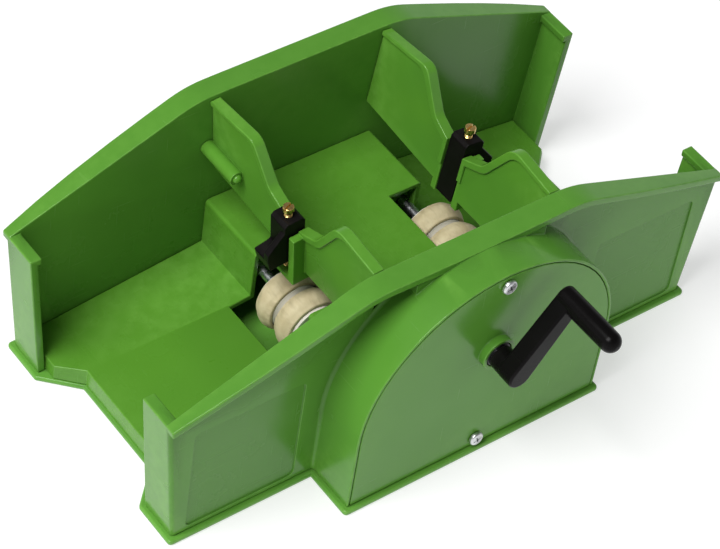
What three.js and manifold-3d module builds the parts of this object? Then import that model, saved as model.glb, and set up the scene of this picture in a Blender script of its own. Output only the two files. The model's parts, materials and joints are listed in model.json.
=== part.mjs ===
// Hand-cranked card shuffler.
// A pack stands in the well between two leaning dividers. Turning the crank drives a rubber roller
// under each divider, one each way, and each throws single cards out into its own tray.
// Frame: millimetres, +Z up, X along the two trays, the crank on the -Y side, z = 0 at the underside.
import * as THREE from 'three';
import * as BufferGeometryUtils from 'three/addons/utils/BufferGeometryUtils.js';
import Module from 'manifold-3d';

const wasm = await Module();
wasm.setup();

// ---------- Driving dimensions ----------
const GAP = 0.3;                 // clearance between neighbouring pieces

// Long walls
const WALL = 2.5;
const HALF_INNER = 47.5;         // inner face of each long wall, from the middle plane
const HALF_OUTER = HALF_INNER + WALL;
const WALL_FOOT = 2.5;           // the walls stand just above the base plate
const END_X_FOOT = 112.5;        // half length at the foot
const END_X_TOP = 117.6;         // half length at the rim: the ends lean out
const END_TOP = 60.7;            // rim height at the ends
const CREST = 89.3;              // rim height over the middle
const CREST_X = 43.5;            // half length of the level crest
const CREST_RADIUS = 40;

// Rim along the top of the walls, wider in the middle than at the ends
const RIM_DEPTH = 3;
const RIM_END_REACH = 4.2;
const FRONT_RIM_BOW = 5.4;
const REAR_RIM_BOW = 4.6;
const FRONT_BOW_POWER = 2;       // a higher power keeps the rim wide nearer its ends
const REAR_BOW_POWER = 4;
const CROWN = { x0: -27.5, x1: 27, z0: 80 };   // where the front rim runs into the housing

// L-shaped returns at the four ends
const RETURN_LENGTH = 16;
const RETURN_WALL = 3;
const RETURN_LIP = 4.6;

// Shallow panels in the front wall, either side of the housing
const PANEL = { x0: 63, x1: 107, z0: 4.5, z1: 52, depth: 0.6 };

// Gear housing
const HOUSING_HALF = 54.5;
const HOUSING_SHOULDER = 34.6;   // the arched top starts here
const HOUSING_FRONT = 70.1;      // outer face, from the middle plane
const COVER_THICK = 2.5;
const COVER_LIP = 1.1;           // rim of the housing left standing round the cover
const COVER_BACK = HOUSING_FRONT - COVER_THICK;
const COVER_SCREWS_Z = { upper: 83.8, lower: 6.6 };
const POST_RADIUS = 3.4;
const SHAFT_BOSS = 2.8;          // height of the bearing bosses inside the housing

// Base plate
const PLINTH = 2.2;
const PLINTH_STEP = 1.75;
const BASE_SCREW = { x: 70, y: 41, post: 4.2, pad: 5.4, padTop: 4.2 };

// Card deck
const DECK = 2;
const DECK_HALF_LENGTH = 109.2;
const TRAY_END_Z = 8.8;          // tray floor at its outer end
const TRAY_RISE = 0.122;         // rise per millimetre towards the platform
const PLATFORM_HALF = 36.5;
const PLATFORM_Z = 38.5;
const NOTCH = { x: 101, y: 20.8 };
const SLOT = { x0: 22, x1: 45.2, y: 16 };
const DECK_RIB = { y0: 20, y1: 23.5, x0: 24, z0: 21 };
const CROSS_RIBS = [-95, -56, 0, 56, 95];

// Rollers
const ROLLER_X = 32;
const ROLLER_Z = 28;
const TYRE_RADIUS = 12.5;
const TYRE_WIDTH = 8.4;
const TYRE_CENTRES = { front: -10.4, rear: 0.6 };
const CORE_RADIUS = 9.6;
const ROLLER_SHAFT_RADIUS = 2;

// Crank and gear train
const CRANK_Z = 52.5;
const CRANK_SHAFT_RADIUS = 3;
const TEETH = { crank: 44, pinion: 24, idler: 14 };
const NEAR_GEARS = [-58, -54];   // y range of the crank gear and left pinion
const FAR_GEARS = [-63.5, -59.5];
const CRANK_TILT = THREE.MathUtils.degToRad(36);
const CRANK_THROW = 31.1;
const CRANK_ARM = { back: -78, front: -85, hub: 4.8, tip: 3.4 };
const GRIP = { end: -106.7, radius: 4.05 };

// Dividers and gates, in a frame that leans with the divider
const DIVIDER_X = 33;
const DIVIDER_Z = 50;
const DIVIDER_LEAN = THREE.MathUtils.degToRad(5.7);
const DIVIDER_HALF_THICK = 1.2;
const BEAD_HALF_THICK = 2.1;
const DIVIDER_BOSS = { out: 3.6, up: 16, radius: 2.8, y: 29 };
const DIVIDER_FOOT = 1.3;
const GATE_BAY = { y0: -5.3, y1: 3.9 };  // gap between the two halves, where the gate slides
const BAY_FLOOR = -2.8;          // underside of the posts and of the ledge that ties the halves
const LEDGE = { inner: 1.9, outer: 6, top: -0.6 };
const FRONT_POST = { y: -8.3, top: 19.6 };
const REAR_POST = { y: 6.5, top: 3 };
const GATE = { y0: -4.9, y1: 3.5, outer: 7.4, foot: -1.5, crotch: 6.4, top: 25.4, chamfer: 1.3 };
const GATE_LEG = 1;              // outer face of the leg that hangs below the block
const GATE_TAB = { root: 12.4, out: 14, tip: 11.2 };
const GATE_RIB = { y: -2.4, root: 21.5, tip: 14.6 };     // stiffens the tab at its front edge
const GATE_SCREW = { out: 3, y: -0.7, radius: 1.5, head: 2, headHeight: 2.2, top: 29.4 };

// ---------- Finishes ----------
const finish = (color, roughness, metalness) => new THREE.MeshStandardMaterial({ color, roughness, metalness });
const FINISH = {
  green: finish(0x5f9a35, 0.35, 0),
  black: finish(0x121212, 0.3, 0),
  rubber: finish(0xd8cca4, 0.75, 0),
  gear: finish(0xe6e2d6, 0.45, 0),
  steel: finish(0xb9bcc0, 0.3, 1),
  brass: finish(0xc9a04e, 0.3, 1),
};

// ---------- Solid helpers ----------
function solid(geometry) {
  const bare = geometry.index ? geometry : geometry.clone();
  bare.deleteAttribute('normal');
  bare.deleteAttribute('uv');
  const merged = BufferGeometryUtils.mergeVertices(bare, 1e-4);
  return new wasm.Manifold(new wasm.Mesh({
    numProp: 3,
    vertProperties: new Float32Array(merged.attributes.position.array),
    triVerts: new Uint32Array(merged.index.array),
  }));
}

function geometryOf(manifold) {
  const mesh = manifold.getMesh();
  const geometry = new THREE.BufferGeometry();
  geometry.setAttribute('position', new THREE.BufferAttribute(mesh.vertProperties, 3));
  geometry.setIndex(new THREE.BufferAttribute(mesh.triVerts, 1));
  geometry.computeVertexNormals();
  return geometry;
}

const join = (...solids) => solids.reduce((sum, next) => sum.add(next));
const cut = (body, ...tools) => tools.reduce((rest, tool) => rest.subtract(tool), body);

// Corners are [a, b] or [a, b, radius, steps]; a rounded corner becomes an arc.
function outline(corners) {
  const points = [];
  corners.forEach(([a, b, radius = 0, steps = 5], i) => {
    const corner = new THREE.Vector2(a, b);
    if (!radius) {
      points.push(corner);
      return;
    }
    const before = corners[(i + corners.length - 1) % corners.length];
    const after = corners[(i + 1) % corners.length];
    const back = new THREE.Vector2(before[0] - a, before[1] - b).normalize();
    const ahead = new THREE.Vector2(after[0] - a, after[1] - b).normalize();
    const half = Math.acos(back.dot(ahead)) / 2;
    const middle = back.clone().add(ahead).setLength(radius / Math.sin(half)).add(corner);
    const start = back.clone().multiplyScalar(radius / Math.tan(half)).add(corner).sub(middle);
    const end = ahead.clone().multiplyScalar(radius / Math.tan(half)).add(corner).sub(middle);
    const turn = Math.atan2(start.cross(end), start.dot(end));
    for (let k = 0; k <= steps; k += 1) {
      points.push(start.clone().rotateAround(new THREE.Vector2(), (turn * k) / steps).add(middle));
    }
  });
  return points;
}

function extruded(points, depth) {
  return new THREE.ExtrudeGeometry(new THREE.Shape(points), { depth, bevelEnabled: false });
}

// Outline in X and Z, running along Y
function prismY(points, y0, y1) {
  return solid(extruded(points, y1 - y0).rotateX(Math.PI / 2).translate(0, y1, 0));
}

// Outline in X and Y, running along Z
function prismZ(points, z0, z1) {
  return solid(extruded(points, z1 - z0).translate(0, 0, z0));
}

// Outline in Y and Z, running along X
function prismX(points, x0, x1) {
  const basis = new THREE.Matrix4().makeBasis(
    new THREE.Vector3(0, 1, 0),
    new THREE.Vector3(0, 0, 1),
    new THREE.Vector3(1, 0, 0),
  );
  return solid(extruded(points, x1 - x0).applyMatrix4(basis).translate(x0, 0, 0));
}

function box(x0, x1, y0, y1, z0, z1) {
  const geometry = new THREE.BoxGeometry(x1 - x0, y1 - y0, z1 - z0);
  return solid(geometry.translate((x0 + x1) / 2, (y0 + y1) / 2, (z0 + z1) / 2));
}

// Round bar along Y
function rodY(radius, y0, y1, x = 0, z = 0, sides = 24) {
  const geometry = new THREE.CylinderGeometry(radius, radius, y1 - y0, sides);
  return solid(geometry.translate(x, (y0 + y1) / 2, z));
}

// Round bar along Z
function rodZ(radius, z0, z1, x = 0, y = 0, sides = 24) {
  const geometry = new THREE.CylinderGeometry(radius, radius, z1 - z0, sides);
  return solid(geometry.rotateX(Math.PI / 2).translate(x, y, (z0 + z1) / 2));
}

// Profile points are [radius, height], from the low end up; the axis is Y
function turnedY(profile, sides = 32) {
  const points = profile.map(([radius, y]) => new THREE.Vector2(radius, y));
  return solid(new THREE.LatheGeometry(points, sides));
}

const shuffler = new THREE.Group();

function addPart(name, body, material, parent = shuffler) {
  const mesh = new THREE.Mesh(geometryOf(body), material);
  mesh.name = name;
  parent.add(mesh);
  return mesh;
}

// ---------- Body moulding ----------
const wallOutline = () => outline([
  [-END_X_FOOT, WALL_FOOT],
  [END_X_FOOT, WALL_FOOT],
  [END_X_TOP, END_TOP],
  [CREST_X, CREST, CREST_RADIUS],
  [-CREST_X, CREST, CREST_RADIUS],
  [-END_X_TOP, END_TOP],
]);

// The arched outline shared by the housing, its hollow and its cover
function archOutline(half, foot) {
  return outline([
    [-half, foot],
    [half, foot],
    [half, HOUSING_SHOULDER + half, half, 16],
    [-half, HOUSING_SHOULDER + half, half, 16],
  ]);
}

// Rim: the top of the wall outline, reaching out by an amount that bows along X
function rim(side, bow, power) {
  const widest = RIM_END_REACH + bow;
  const low = side < 0 ? -HALF_INNER - widest : HALF_INNER;
  const band = cut(
    prismY(wallOutline(), low, low + widest),
    prismY(wallOutline(), low - 1, low + widest + 1).translate(0, 0, -RIM_DEPTH),
  );
  const edge = [];
  const steps = 16;
  for (let k = 0; k <= steps; k += 1) {
    const t = (2 * k) / steps - 1;
    const reach = RIM_END_REACH + bow * (1 - t ** power);
    edge.push(new THREE.Vector2(t * (END_X_TOP + 1), side * (HALF_INNER + reach)));
  }
  const inner = side * HALF_INNER;
  const ends = [new THREE.Vector2(END_X_TOP + 1, inner), new THREE.Vector2(-END_X_TOP - 1, inner)];
  const plan = [...ends, ...edge];
  return band.intersect(prismZ(plan, END_TOP - 2 * RIM_DEPTH, CREST + 1));
}

function cornerReturn(endSide, wallSide) {
  const nearY = wallSide * (HALF_OUTER - RETURN_LENGTH);
  const farY = wallSide * (HALF_OUTER - WALL / 2);
  const y0 = Math.min(nearY, wallSide * HALF_OUTER);
  const y1 = Math.max(nearY, wallSide * HALF_OUTER);
  const leaning = outline([
    [endSide * END_X_FOOT, WALL_FOOT],
    [endSide * END_X_TOP, END_TOP],
    [endSide * (END_X_TOP - RETURN_WALL), END_TOP],
    [endSide * (END_X_FOOT - RETURN_WALL), WALL_FOOT],
  ]);
  const drop = RIM_DEPTH * (END_X_TOP - END_X_FOOT) / (END_TOP - WALL_FOOT);
  const lip = prismY(outline([
    [endSide * END_X_TOP, END_TOP],
    [endSide * (END_X_TOP - RETURN_LIP), END_TOP],
    [endSide * (END_X_TOP - RETURN_LIP), END_TOP - RIM_DEPTH],
    [endSide * (END_X_TOP - drop), END_TOP - RIM_DEPTH],
  ]), Math.min(nearY, farY), Math.max(nearY, farY));
  return join(prismY(leaning, y0, y1), lip);
}

const trayFloor = (x) => TRAY_END_Z + TRAY_RISE * (DECK_HALF_LENGTH - Math.abs(x));
const deckUnderside = (x) => (Math.abs(x) < PLATFORM_HALF ? PLATFORM_Z : trayFloor(x)) - DECK;

function crossRib(x) {
  const top = deckUnderside(Math.abs(x) + WALL / 2) - GAP;
  return box(x - WALL / 2, x + WALL / 2, -HALF_INNER - 1, HALF_INNER + 1, WALL_FOOT, top);
}

// Post for a base screw, tied to the nearer wall by a web
function basePost(sx, sy) {
  const { x, y, post, padTop } = BASE_SCREW;
  const foot = padTop + GAP;
  const top = deckUnderside(x + post) - GAP;
  const y0 = Math.min(sy * y, sy * (HALF_INNER + 1));
  const y1 = Math.max(sy * y, sy * (HALF_INNER + 1));
  const web = box(sx * x - post + 1, sx * x + post - 1, y0, y1, foot, top);
  return cut(
    join(rodZ(post, foot, top, sx * x, sy * y), web),
    rodZ(1.6, foot - 1, top - 1, sx * x, sy * y, 12),
  );
}

// Where the rear screw boss of a divider meets the rear wall
function dividerScrewPlace(side) {
  const { out, up } = DIVIDER_BOSS;
  const x = DIVIDER_X + up * Math.sin(DIVIDER_LEAN) + out * Math.cos(DIVIDER_LEAN);
  const z = DIVIDER_Z + up * Math.cos(DIVIDER_LEAN) - out * Math.sin(DIVIDER_LEAN);
  return { x: side * x, z };
}

// The idler sits below the line from crank to right roller, in mesh with both
const crankToRoller = Math.hypot(ROLLER_X, CRANK_Z - ROLLER_Z);
const gearModule = (2 * crankToRoller) / (TEETH.crank + TEETH.pinion);
const pitchRadius = (teeth) => (gearModule * teeth) / 2;
const idlerPlace = (() => {
  const fromCrank = pitchRadius(TEETH.crank) + pitchRadius(TEETH.idler);
  const fromRoller = pitchRadius(TEETH.pinion) + pitchRadius(TEETH.idler);
  const along = (fromCrank ** 2 - fromRoller ** 2 + crankToRoller ** 2) / (2 * crankToRoller);
  const aside = Math.sqrt(fromCrank ** 2 - along ** 2);
  const ux = ROLLER_X / crankToRoller;
  const uz = (ROLLER_Z - CRANK_Z) / crankToRoller;
  return { x: along * ux + aside * uz, z: CRANK_Z + along * uz - aside * ux };
})();

function mainBody() {
  const front = prismY(wallOutline(), -HALF_OUTER, -HALF_INNER);
  const rear = prismY(wallOutline(), HALF_INNER, HALF_OUTER);
  const hollow = prismY(archOutline(HOUSING_HALF - WALL, WALL_FOOT - 1), -HOUSING_FRONT - 1, -HALF_OUTER);
  const rebate = prismY(
    archOutline(HOUSING_HALF - COVER_LIP, WALL_FOOT - 1),
    -HOUSING_FRONT - 1,
    -COVER_BACK + GAP,
  );
  const housing = cut(prismY(archOutline(HOUSING_HALF, WALL_FOOT), -HOUSING_FRONT, -HALF_OUTER), hollow, rebate);
  const crown = cut(
    box(CROWN.x0, CROWN.x1, -HALF_INNER - RIM_END_REACH - FRONT_RIM_BOW + 0.5, -HALF_OUTER, CROWN.z0,
      CREST - RIM_DEPTH + 0.4),
    hollow,
  );
  const returns = [-1, 1].flatMap((end) => [-1, 1].map((wall) => cornerReturn(end, wall)));
  const ribs = CROSS_RIBS.map(crossRib);
  const posts = [-1, 1].flatMap((sx) => [-1, 1].map((sy) => basePost(sx, sy)));
  const bossFace = -HALF_OUTER - SHAFT_BOSS;
  const bosses = [
    rodY(POST_RADIUS, -COVER_BACK + GAP, -HALF_OUTER + 0.5, 0, COVER_SCREWS_Z.upper),
    rodY(POST_RADIUS, -COVER_BACK + GAP, -HALF_OUTER + 0.5, 0, COVER_SCREWS_Z.lower),
    rodY(6, bossFace, -HALF_OUTER + 0.5, 0, CRANK_Z),
    rodY(4.5, bossFace, -HALF_OUTER + 0.5, idlerPlace.x, idlerPlace.z),
  ];
  const holes = [
    rodY(1.6, -COVER_BACK - 1, -HALF_OUTER - 2, 0, COVER_SCREWS_Z.upper, 12),
    rodY(1.6, -COVER_BACK - 1, -HALF_OUTER - 2, 0, COVER_SCREWS_Z.lower, 12),
    rodY(CRANK_SHAFT_RADIUS + GAP, bossFace - 1, -HALF_OUTER + 1.2, 0, CRANK_Z),
    rodY(2 + GAP, bossFace - 1, -HALF_OUTER + 1.2, idlerPlace.x, idlerPlace.z, 16),
    rodY(4.3, -HALF_OUTER - 1, -HALF_INNER + 1, -ROLLER_X, ROLLER_Z),
    rodY(4.3, -HALF_OUTER - 1, -HALF_INNER + 1, ROLLER_X, ROLLER_Z),
  ];
  for (const side of [-1, 1]) {
    const { x, z } = dividerScrewPlace(side);
    holes.push(rodY(1.6, HALF_INNER - 1, HALF_OUTER + 1, x, z, 12));
  }
  const panels = [-1, 1].map((side) => prismY(
    outline([
      [side * PANEL.x0, PANEL.z0, 2, 3],
      [side * PANEL.x1, PANEL.z0, 2, 3],
      [side * PANEL.x1, PANEL.z1, 2, 3],
      [side * PANEL.x0, PANEL.z1, 2, 3],
    ]),
    -HALF_OUTER - 1,
    -HALF_OUTER + PANEL.depth,
  ));
  const frontRim = rim(-1, FRONT_RIM_BOW, FRONT_BOW_POWER);
  const rearRim = rim(1, REAR_RIM_BOW, REAR_BOW_POWER);
  const whole = join(front, rear, frontRim, rearRim, housing, crown,
    ...returns, ...ribs, ...posts, ...bosses);
  return cut(whole, ...holes, ...panels);
}

// ---------- Base plate ----------
function basePlate() {
  const x = END_X_FOOT + PLINTH_STEP;
  const y = HALF_OUTER + PLINTH_STEP;
  const hx = HOUSING_HALF + PLINTH_STEP;
  const hy = HOUSING_FRONT + PLINTH_STEP;
  const nx = NOTCH.x + 1;
  const diagonal = x - nx;
  const plate = prismZ(outline([
    [-x, -y, 1.5, 3], [-hx, -y], [-hx, -hy, 1.5, 3], [hx, -hy, 1.5, 3], [hx, -y], [x, -y, 1.5, 3],
    [x, -NOTCH.y - diagonal], [nx, -NOTCH.y], [nx, NOTCH.y], [x, NOTCH.y + diagonal],
    [x, y, 1.5, 3], [-x, y, 1.5, 3],
    [-x, NOTCH.y + diagonal], [-nx, NOTCH.y], [-nx, -NOTCH.y], [-x, -NOTCH.y - diagonal],
  ]), 0, PLINTH);
  const pads = [];
  const holes = [];
  for (const sx of [-1, 1]) {
    for (const sy of [-1, 1]) {
      const px = sx * BASE_SCREW.x;
      const py = sy * BASE_SCREW.y;
      pads.push(rodZ(BASE_SCREW.pad, 1, BASE_SCREW.padTop, px, py));
      holes.push(rodZ(1.7, -1, BASE_SCREW.padTop + 1, px, py, 12));
      holes.push(rodZ(3.4, -1, 2.2, px, py, 16));
    }
  }
  return cut(join(plate, ...pads), ...holes);
}

// ---------- Card deck ----------
function deckPlan(inset) {
  const x = DECK_HALF_LENGTH - inset;
  const y = HALF_INNER - GAP;
  const nx = NOTCH.x - inset;
  const ny = NOTCH.y + x - nx;
  return outline([
    [-x, -y], [x, -y], [x, -ny], [nx, -NOTCH.y], [nx, NOTCH.y], [x, ny],
    [x, y], [-x, y], [-x, ny], [-nx, NOTCH.y], [-nx, -NOTCH.y], [-x, -ny],
  ]);
}

function deckProfile(low) {
  const end = DECK_HALF_LENGTH + 1;
  const p = PLATFORM_HALF;
  return outline([
    [-end, low], [end, low], [end, trayFloor(end)], [p, trayFloor(p)], [p, PLATFORM_Z, 1.5, 3],
    [-p, PLATFORM_Z, 1.5, 3], [-p, trayFloor(p)], [-end, trayFloor(end)],
  ]);
}

function cardDeck() {
  const y = HALF_INNER - GAP;
  const end = DECK_HALF_LENGTH + 2;
  const inner = PLATFORM_HALF - DECK;
  const under = outline([
    [-end, 0], [end, 0], [end, trayFloor(end) - DECK], [inner, trayFloor(PLATFORM_HALF) - DECK],
    [inner, PLATFORM_Z - DECK], [-inner, PLATFORM_Z - DECK],
    [-inner, trayFloor(PLATFORM_HALF) - DECK], [-end, trayFloor(end) - DECK],
  ]);
  const filled = prismY(deckProfile(WALL_FOOT), -y, y);
  const skin = cut(filled, prismY(under, -y - 1, y + 1)).intersect(prismZ(deckPlan(0), 0, PLATFORM_Z + 1));
  const skirt = cut(
    prismZ(deckPlan(0), WALL_FOOT, PLATFORM_Z),
    prismZ(deckPlan(DECK), 0, PLATFORM_Z + 1),
  ).intersect(filled).subtract(box(-NOTCH.x + 6, NOTCH.x - 6, -y - 1, y + 1, 0, CREST));
  const ribs = [];
  const bores = [];
  const slots = [];
  for (const side of [-1, 1]) {
    const [r0, r1] = [side * DECK_RIB.x0, side * (inner + 0.5)].sort((a, b) => a - b);
    const [s0, s1] = [side * SLOT.x0, side * SLOT.x1].sort((a, b) => a - b);
    ribs.push(box(r0, r1, DECK_RIB.y0, DECK_RIB.y1, DECK_RIB.z0, PLATFORM_Z - DECK + 0.5));
    const bore = ROLLER_SHAFT_RADIUS + GAP;
    bores.push(rodY(bore, DECK_RIB.y0 - 1, DECK_RIB.y1 + 1, side * ROLLER_X, ROLLER_Z, 16));
    slots.push(box(s0, s1, -SLOT.y, SLOT.y, trayFloor(SLOT.x1) - 2 * DECK, PLATFORM_Z + 1));
  }
  return cut(join(skin, skirt, ...ribs), ...bores, ...slots);
}

// ---------- Gear cover ----------
function gearCover() {
  const plate = prismY(archOutline(HOUSING_HALF - COVER_LIP - GAP, WALL_FOOT + GAP), -HOUSING_FRONT, -COVER_BACK);
  const crankBoss = rodY(6.6, -HOUSING_FRONT - 3, -COVER_BACK + 2.1, 0, CRANK_Z, 32);
  const pinBoss = rodY(4.5, -COVER_BACK - 0.5, -COVER_BACK + 2.6, idlerPlace.x, idlerPlace.z);
  return cut(
    join(plate, crankBoss, pinBoss),
    rodY(5.2, -HOUSING_FRONT - 4, -COVER_BACK + 3, 0, CRANK_Z),
    rodY(2 + GAP, -HOUSING_FRONT + 1.1, -COVER_BACK + 3, idlerPlace.x, idlerPlace.z, 16),
    rodY(1.7, -HOUSING_FRONT - 1, -COVER_BACK + 1, 0, COVER_SCREWS_Z.upper, 12),
    rodY(1.7, -HOUSING_FRONT - 1, -COVER_BACK + 1, 0, COVER_SCREWS_Z.lower, 12),
  );
}

// Pan-head screw along Y, made at the origin: the head's underside is at y = 0, the point at +length
function panScrew(radius, length, headRadius, headHeight) {
  const slot = box(-headRadius, headRadius, -headHeight - 1, -headHeight + 0.7, -0.35, 0.35);
  const body = turnedY([
    [0, -headHeight], [headRadius * 0.7, -headHeight], [headRadius, -headHeight * 0.45], [headRadius, 0],
    [radius, 0], [radius, length - 1], [radius * 0.4, length], [0, length],
  ], 12);
  return cut(body, slot, slot.rotate([0, 90, 0]));
}

// ---------- Gears ----------
// Straight teeth with generous backlash. toothAt turns the gear so that a tooth points that way.
function gear(teeth, y0, y1, toothAt, hub, bore) {
  const pitch = pitchRadius(teeth);
  const tip = pitch + 0.8 * gearModule;
  const root = pitch - 1.1 * gearModule;
  const step = (2 * Math.PI) / teeth;
  const flank = [[root, -0.33], [pitch, -0.2], [tip, -0.1], [tip, 0.1], [pitch, 0.2], [root, 0.33]];
  const points = [];
  for (let k = 0; k < teeth; k += 1) {
    const middle = toothAt + k * step;
    for (const [radius, part] of flank) {
      const angle = middle + part * step;
      points.push(new THREE.Vector2(radius * Math.cos(angle), radius * Math.sin(angle)));
    }
  }
  const wheel = prismY(points, y0, y1);
  return cut(join(wheel, rodY(hub.radius, hub.y0, hub.y1)), rodY(bore, -100, 0));
}

// Angles in the X-Z plane, anticlockwise from +X
const angleTo = (from, to) => Math.atan2(to.z - from.z, to.x - from.x);
const crankPlace = { x: 0, z: CRANK_Z };
const leftPlace = { x: -ROLLER_X, z: ROLLER_Z };
const rightPlace = { x: ROLLER_X, z: ROLLER_Z };
const toothStep = (teeth) => (2 * Math.PI) / teeth;

// Tooth directions that mesh at rest: a tooth of one gear faces a space of the other
function meshingTooth(from, to, fromTeeth, fromToothAt, toTeeth) {
  const towards = angleTo(from, to);
  const phase = (towards - fromToothAt) / toothStep(fromTeeth);
  return towards + Math.PI + (phase + 0.5) * toothStep(toTeeth);
}

function addGears() {
  const crankTooth = angleTo(crankPlace, leftPlace);
  const leftTooth = meshingTooth(crankPlace, leftPlace, TEETH.crank, crankTooth, TEETH.pinion);
  const idlerTooth = meshingTooth(crankPlace, idlerPlace, TEETH.crank, crankTooth, TEETH.idler);
  const rightTooth = meshingTooth(idlerPlace, rightPlace, TEETH.idler, idlerTooth, TEETH.pinion);
  const [near0, near1] = NEAR_GEARS;
  const [far0, far1] = FAR_GEARS;
  const boreOf = (radius) => radius + GAP;
  const list = [
    ['crank_gear', TEETH.crank, near0, near1, crankTooth, { radius: 6, y0: far0, y1: near1 },
      boreOf(CRANK_SHAFT_RADIUS), crankPlace],
    ['left_pinion', TEETH.pinion, near0, near1, leftTooth, { radius: 5, y0: far1 - 1, y1: near1 },
      boreOf(ROLLER_SHAFT_RADIUS), leftPlace],
    ['right_pinion', TEETH.pinion, far0, far1, rightTooth, { radius: 5, y0: far0, y1: near1 },
      boreOf(ROLLER_SHAFT_RADIUS), rightPlace],
    ['idler_gear', TEETH.idler, far0, near1, idlerTooth, { radius: 4, y0: far0, y1: near1 },
      boreOf(2), idlerPlace],
  ];
  for (const [name, teeth, y0, y1, toothAt, hub, bore, place] of list) {
    addPart(name, gear(teeth, y0, y1, toothAt, hub, bore), FINISH.gear).position.set(place.x, 0, place.z);
  }
}

// ---------- Rollers ----------
function addRoller(name, side) {
  const roller = new THREE.Group();
  roller.position.set(side * ROLLER_X, 0, ROLLER_Z);
  shuffler.add(roller);
  const shaftEnd = side < 0 ? NEAR_GEARS[0] - 2 : FAR_GEARS[0] - 1;
  addPart(`${name}_roller_shaft`, rodY(ROLLER_SHAFT_RADIUS, shaftEnd, DECK_RIB.y1 + 2), FINISH.steel, roller);
  const { front, rear } = TYRE_CENTRES;
  const half = TYRE_WIDTH / 2;
  const core = cut(
    turnedY([
      [0, front - half - 1], [CORE_RADIUS, front - half - 1], [CORE_RADIUS, front + half],
      [CORE_RADIUS - 2.5, (front + rear) / 2], [CORE_RADIUS, rear - half],
      [CORE_RADIUS, rear + half + 1], [0, rear + half + 1],
    ], 24),
    rodY(ROLLER_SHAFT_RADIUS + GAP, -SLOT.y, SLOT.y, 0, 0, 16),
  );
  addPart(`${name}_roller_core`, core, FINISH.gear, roller);
  for (const [place, y] of Object.entries(TYRE_CENTRES)) {
    const bore = CORE_RADIUS + GAP;
    const tyre = turnedY([
      [bore, y - half], [TYRE_RADIUS - 1.2, y - half], [TYRE_RADIUS - 0.3, y - half * 0.55],
      [TYRE_RADIUS, y], [TYRE_RADIUS - 0.3, y + half * 0.55], [TYRE_RADIUS - 1.2, y + half],
      [bore, y + half], [bore, y - half],
    ], 30);
    addPart(`${name}_${place}_tyre`, tyre, FINISH.rubber, roller);
  }
  const bush = cut(
    join(rodY(4, -HALF_OUTER - GAP - 0.5, -HALF_INNER), rodY(6, -HALF_OUTER - SHAFT_BOSS, -HALF_OUTER - GAP)),
    rodY(ROLLER_SHAFT_RADIUS + GAP, -HALF_OUTER - 5, -HALF_INNER + 1, 0, 0, 16),
  );
  addPart(`${name}_front_bush`, bush, FINISH.black, roller);
}

// ---------- Crank ----------
function crankHandle() {
  const tip = { x: CRANK_THROW * Math.sin(CRANK_TILT), z: CRANK_THROW * Math.cos(CRANK_TILT) };
  const across = { x: Math.cos(CRANK_TILT), z: -Math.sin(CRANK_TILT) };
  const at = (along, aside, radius) => [
    Math.sin(CRANK_TILT) * along + across.x * aside,
    Math.cos(CRANK_TILT) * along + across.z * aside,
    radius,
    6,
  ];
  const arm = prismY(outline([
    at(-CRANK_ARM.hub, -CRANK_ARM.hub, CRANK_ARM.hub - 0.3),
    at(-CRANK_ARM.hub, CRANK_ARM.hub, CRANK_ARM.hub - 0.3),
    at(CRANK_THROW + CRANK_ARM.tip, CRANK_ARM.tip, CRANK_ARM.tip - 0.3),
    at(CRANK_THROW + CRANK_ARM.tip, -CRANK_ARM.tip, CRANK_ARM.tip - 0.3),
  ]), CRANK_ARM.front, CRANK_ARM.back);
  const hub = turnedY([
    [0, CRANK_ARM.front + 1],
    [CRANK_ARM.hub, CRANK_ARM.front + 1],
    [CRANK_ARM.hub, CRANK_ARM.back + 3],
    [CRANK_ARM.hub - 0.3, -73.4],
    [0, -73.4],
  ], 28);
  const grip = turnedY([
    [0, GRIP.end],
    [GRIP.radius - 1.7, GRIP.end + 0.5],
    [GRIP.radius - 0.5, GRIP.end + 1.9],
    [GRIP.radius - 0.1, GRIP.end + 4],
    [GRIP.radius, CRANK_ARM.front],
    [GRIP.radius, CRANK_ARM.back + 0.3],
    [0, CRANK_ARM.back + 0.3],
  ], 24).translate(tip.x, 0, tip.z);
  return cut(join(arm, hub, grip), rodY(CRANK_SHAFT_RADIUS + GAP, CRANK_ARM.front + 3, -70));
}

function addCrank() {
  const crank = new THREE.Group();
  crank.position.set(0, 0, CRANK_Z);
  shuffler.add(crank);
  addPart('crank_handle', crankHandle(), FINISH.black, crank);
  addPart('crank_shaft', rodY(CRANK_SHAFT_RADIUS, CRANK_ARM.front + 3 + GAP, -HALF_OUTER + 0.9), FINISH.steel, crank);
  const bush = cut(
    join(rodY(4.9, -HOUSING_FRONT - 2.8, -COVER_BACK + 3), rodY(6.4, -COVER_BACK + 2.4, -COVER_BACK + 3.4)),
    rodY(CRANK_SHAFT_RADIUS + GAP, -HOUSING_FRONT - 4, -COVER_BACK + 5),
  );
  addPart('crank_bush', bush, FINISH.black, crank);
}

// ---------- Dividers and gates ----------
// In the leaning frame, out is the distance from the divider's middle plane towards the tray
const DIVIDER_END = HALF_INNER - GAP;
const rearHalf = () => outline([
  [DIVIDER_END, 4.4], [DIVIDER_END, 37.6], [22, 40.4, 5], [12, 25.6, 7], [GATE_BAY.y1, 21.8],
  [GATE_BAY.y1, DIVIDER_FOOT],
]);
const frontHalf = () => outline([
  [-DIVIDER_END, DIVIDER_FOOT], [-DIVIDER_END, 39.2], [-26, 41.9, 7], [-15, 24.4, 7], [FRONT_POST.y, 21.5],
  [GATE_BAY.y0, 20.3], [GATE_BAY.y0, DIVIDER_FOOT],
]);

// A box in the leaning frame, from inner to outer on the side of the tray
function leaningBox(side, inner, outer, y0, y1, z0, z1) {
  return box(Math.min(side * inner, side * outer), Math.max(side * inner, side * outer), y0, y1, z0, z1);
}

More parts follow.
